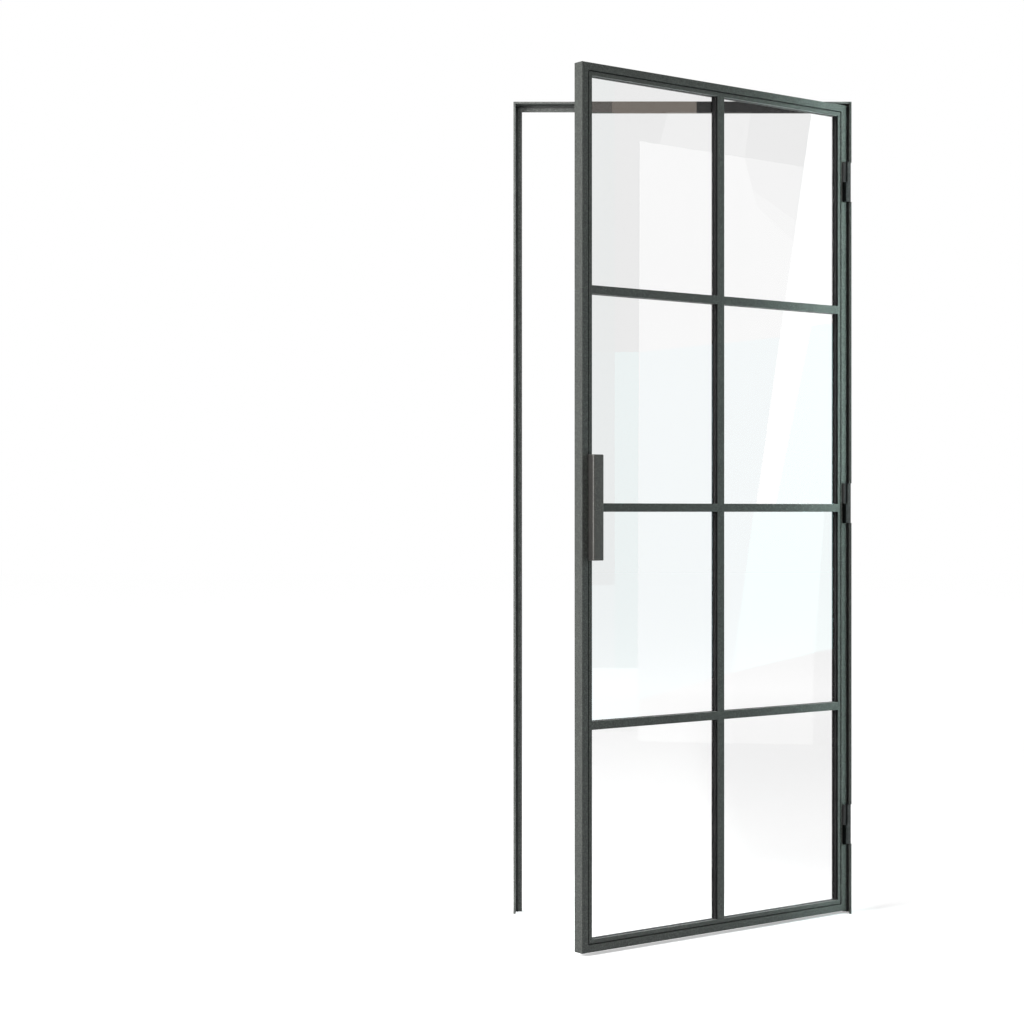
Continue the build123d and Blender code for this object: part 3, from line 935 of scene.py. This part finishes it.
def floor_paint():
    # Matt white that adds light for the camera, more of it far away and on the lock side.
    lift = bpy.context.scene.door_studio.floor_lift
    paint, tree, _ = new_material("floor paint")
    tree.nodes.clear()
    spot = object_place(tree)
    away = add_node(tree, "ShaderNodeVectorMath", {0: spot, 1: (*DOOR_MIDDLE.xy, 0)},
                    operation="DISTANCE").outputs["Value"]
    far = ranged(tree, away, FADE_DISTANCES, (lift, FAR_LIFT))
    x = add_node(tree, "ShaderNodeSeparateXYZ", {"Vector": spot}).outputs["X"]
    beside = ranged(tree, x, LOCK_SIDE_PLACES, (LOCK_SIDE_LIFT, 0))
    near = ranged(tree, away, LOCK_SIDE_DISTANCES, (1, 0))
    total = calculated(tree, "MULTIPLY_ADD", beside, near, far)
    strength = calculated(tree, "MULTIPLY", seen_directly(tree), total)
    matt = add_node(tree, "ShaderNodeBsdfDiffuse", {"Color": FLOOR_WHITE})
    light = add_node(tree, "ShaderNodeEmission", {"Strength": strength})
    both = add_node(tree, "ShaderNodeAddShader", {0: matt.outputs[0], 1: light.outputs[0]})
    add_node(tree, "ShaderNodeOutputMaterial", {"Surface": both.outputs[0]})
    return paint


def white_world():
    # White all round for whoever looks at it, and a softer even light on surfaces.
    studio, scene = bpy.context.scene.door_studio, bpy.context.scene
    scene.world = bpy.data.worlds.new("white surroundings")
    scene.world.use_nodes = True
    tree = scene.world.node_tree
    backdrop = tree.nodes["Background"]
    backdrop.inputs["Color"].default_value = (1, 1, 1, 1)
    level = ranged(tree, seen_directly(tree), (0, 1), (studio.world_level, 1.0))
    tree.links.new(level, backdrop.inputs["Strength"])


def soft_box(name, watts, size, spot, aim):
    lamp = bpy.data.lights.new(name, "AREA")
    lamp.energy = watts
    lamp.shape = "RECTANGLE"
    lamp.size, lamp.size_y = size
    box = linked_object(name, lamp)
    box.location = spot
    box.rotation_euler = (Vector(aim) - Vector(spot)).to_track_quat("-Z", "Y").to_euler()
    box.visible_camera = False
    return box


def strip_light(name, watts, low, high):
    # A narrow upright light beside the hinge stile that no reflection and no pane shows.
    level = (low + high) / 2
    strip = soft_box(name, watts, (STRIP_WIDTH, high - low), (STRIP_X, STRIP_Y, level),
                     (STRIP_AIM_X, STRIP_Y, level))
    strip.data.color = STRIP_TINT
    strip.visible_glossy = False
    strip.visible_transmission = False


def photo_camera():
    # The camera of the photograph: level, with its horizon and its centre column shifted.
    studio, scene = bpy.context.scene.door_studio, bpy.context.scene
    size = studio.image_size
    lens = bpy.data.cameras.new("camera")
    lens.sensor_width = SENSOR_WIDTH
    lens.lens = studio.focal_pixels / size * lens.sensor_width
    lens.shift_x = (size / 2 - studio.centre_column) / size
    lens.shift_y = (studio.centre_row - size / 2) / size
    camera = linked_object("camera", lens)
    camera.location = camera_place()
    camera.rotation_euler = (math.radians(90), 0, 0)
    scene.camera = camera


class DOOR_OT_studio(bpy.types.Operator):
    """Set up the floor, the soft light, the cards that the glass mirrors and the camera"""
    bl_idname = "door.studio"
    bl_label = "Studio"

    def execute(self, context):
        studio = context.scene.door_studio
        context.scene.view_settings.view_transform = "Standard"
        white_world()
        floor = [(-FLOOR_REACH, -FLOOR_REACH, 0), (FLOOR_REACH, -FLOOR_REACH, 0),
                 (FLOOR_REACH, FLOOR_REACH, 0), (-FLOOR_REACH, FLOOR_REACH, 0)]
        flat_card("floor", floor, floor_paint(), ())
        soft_box("left softbox", studio.left_watts, LEFT_BOX_SIZE, LEFT_BOX_PLACE, DOOR_MIDDLE)
        soft_box("top softbox", studio.top_watts, TOP_BOX_SIZE, TOP_BOX_PLACE, DOOR_MIDDLE)
        strip_light("low strip light", studio.strip_low_watts, 0, STRIP_MIDDLE)
        strip_light("high strip light", studio.strip_high_watts, STRIP_MIDDLE, STRIP_TOP)
        jamb_flag()
        # Glowing strips, seen only through the panes, paint light and shade on the head
        for name, ends, colour in HEAD_PAINTED_STRIPS:
            head_painted_strip(name, ends, colour)
        mirrored_card("front_window", FRONT_WINDOW, (1, 1, 1), FRONT_WINDOW_LEVEL)
        mirrored_card("dark_room", DARK_ROOM, (1, 1, 1), DARK_ROOM_LEVEL)
        for number, (name, corners, colour, strength) in enumerate(REFLECTION_CARDS, start=1):
            card_x = MIRRORED_WALL_X - MIRRORED_CARD_STEP * number
            spots = [mirrored_spot(column, row, card_x) for column, row in corners]
            mirrored_card(name, spots, colour, strength)
        photo_camera()
        return {"FINISHED"}


class DOOR_PT_panel(bpy.types.Panel):
    """Lists the sizes, the colours and the pieces of the door"""
    bl_label = "Glazed steel door"
    bl_idname = "DOOR_PT_panel"
    bl_space_type = "VIEW_3D"
    bl_region_type = "UI"
    bl_category = "Door"

    def draw(self, context):
        for settings in (getattr(context.scene, label) for label in SETTINGS):
            column = self.layout.column()
            for label in settings.__annotations__:
                column.prop(settings, label)
        for operator in OPERATORS:
            self.layout.operator(operator.bl_idname)


SETTINGS = {"door_sizes": DoorSizes, "door_colours": DoorColours, "door_studio": StudioSettings}
OPERATORS = (
    DOOR_OT_frame, DOOR_OT_seals, DOOR_OT_hinges, DOOR_OT_tubes, DOOR_OT_front_bars,
    DOOR_OT_back_bars, DOOR_OT_glazing, DOOR_OT_pulls, DOOR_OT_studio,
)


def register():
    for label, group in SETTINGS.items():
        bpy.utils.register_class(group)
        setattr(bpy.types.Scene, label, bpy.props.PointerProperty(type=group))
    for operator in OPERATORS:
        bpy.utils.register_class(operator)
    bpy.utils.register_class(DOOR_PT_panel)


def unregister():
    bpy.utils.unregister_class(DOOR_PT_panel)
    for operator in reversed(OPERATORS):
        bpy.utils.unregister_class(operator)
    for label, group in SETTINGS.items():
        delattr(bpy.types.Scene, label)
        bpy.utils.unregister_class(group)


def main():
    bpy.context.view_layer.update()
    register()
    bpy.ops.door.frame()
    bpy.ops.door.seals()
    bpy.ops.door.hinges()
    bpy.ops.door.tubes()
    bpy.ops.door.front_bars()
    bpy.ops.door.back_bars()
    bpy.ops.door.glazing()
    bpy.ops.door.pulls()
    bpy.ops.door.studio()


if __name__ == "__main__":
    main()
